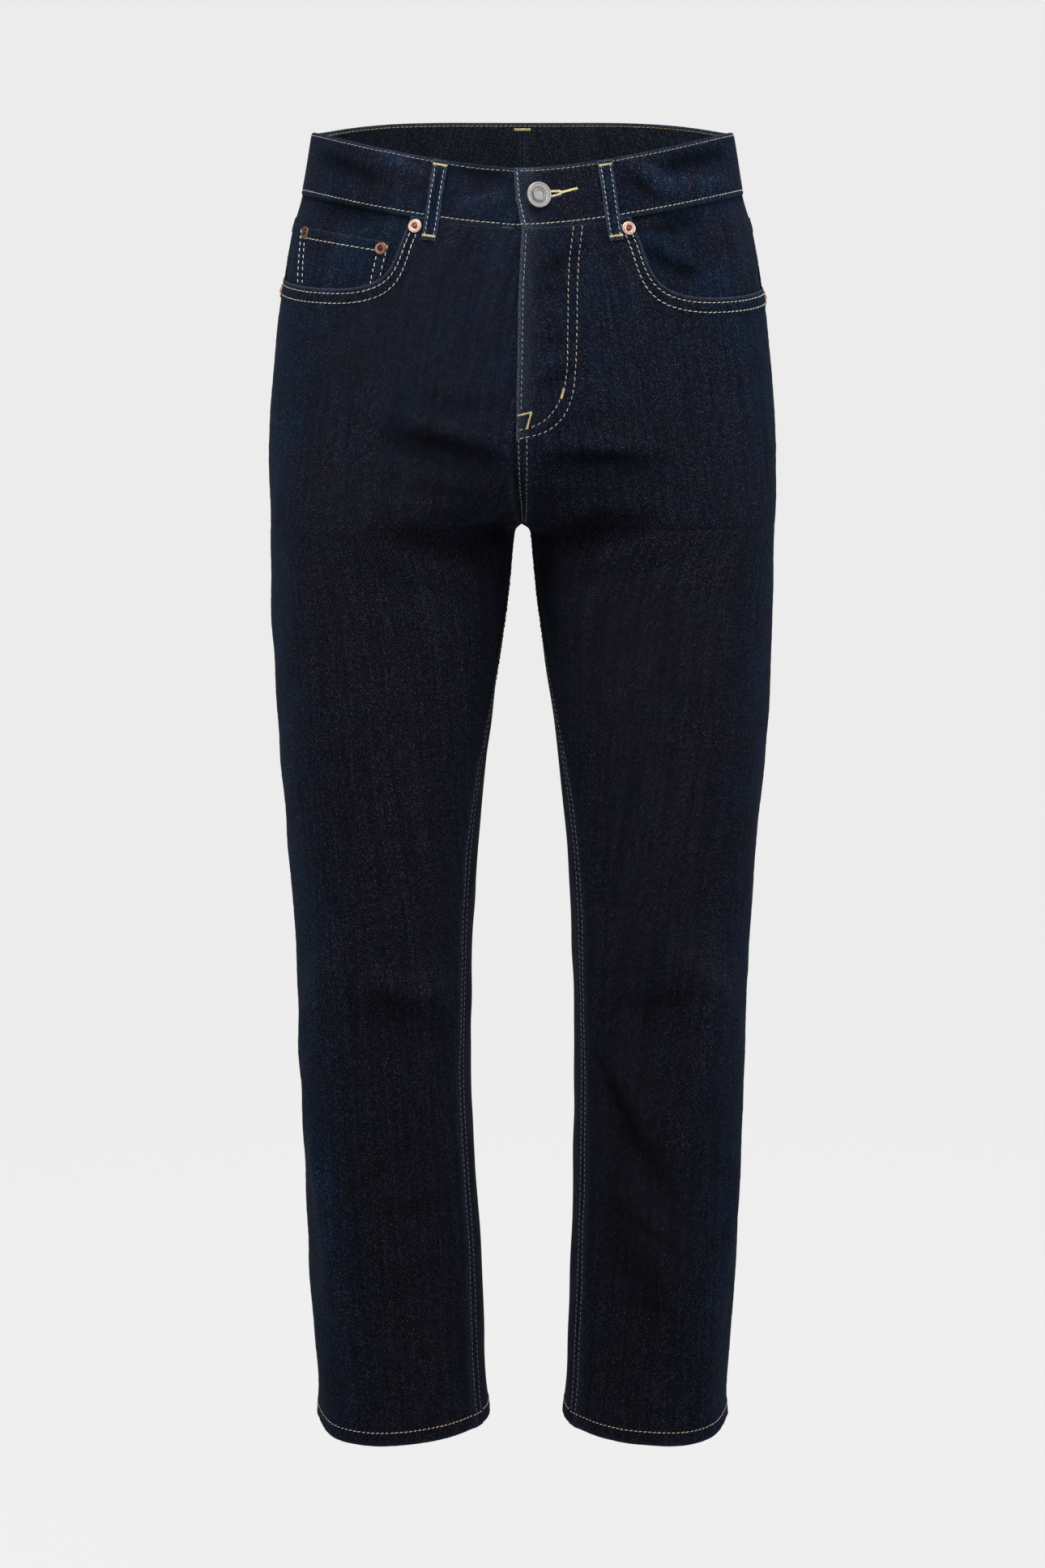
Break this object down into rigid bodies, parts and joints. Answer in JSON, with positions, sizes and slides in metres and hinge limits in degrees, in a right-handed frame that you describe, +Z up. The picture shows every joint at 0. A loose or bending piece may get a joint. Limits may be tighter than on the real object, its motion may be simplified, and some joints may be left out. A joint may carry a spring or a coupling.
{
  "type": "straight leg jeans",
  "caption": "Dark indigo straight leg five-pocket jeans, hollow and filled out as worn, with a buttoned waistband and belt loops.",
  "frame": {"origin": "middle of the waist opening, level with the top of the waistband at the side seams", "axes": "+Z up, towards the wearer's head; -Y is the front, with the fly; +X is the wearer's left"},
  "size_m": [0.3806, 0.2493, 0.999],
  "materials": {
    "denim": "dark indigo twill, close to black on the thighs and shins, with fine white flecks, matt",
    "denim_upper": "the same dark indigo twill, a little bluer on the waistband, loops, facings and coin pocket, worn lighter on its edges",
    "copper": "pinkish copper rivets, satin",
    "antique_silver": "antique silver shank button with concentric rings and dark recesses",
    "thread_ecru": "pale ecru topstitching thread",
    "thread_gold": "golden tan thread of the bartacks and the inner rows"
  },
  "bodies": {
    "root": {"back_left": "denim", "back_pocket_left": "denim", "back_pocket_right": "denim", "back_right": "denim", "belt_loop_back_left": "denim_upper", "belt_loop_back_right": "denim_upper", "belt_loop_centre_back": "denim_upper", "belt_loop_front_left": "denim_upper", "belt_loop_front_right": "denim_upper", "button": "antique_silver", "coin_pocket": "denim_upper", "fly_shield": "denim", "front_left": "denim", "front_right": "denim", "pocket_facing_left": "denim_upper", "pocket_facing_right": "denim_upper", "rivet_coin_inner": "copper", "rivet_coin_outer": "copper", "rivet_mouth_left": "copper", "rivet_mouth_right": "copper", "rivet_side_left": "copper", "rivet_side_right": "copper", "waistband": "denim_upper", "yoke_left": "denim", "yoke_right": "denim"}
  },
  "joints": []
}
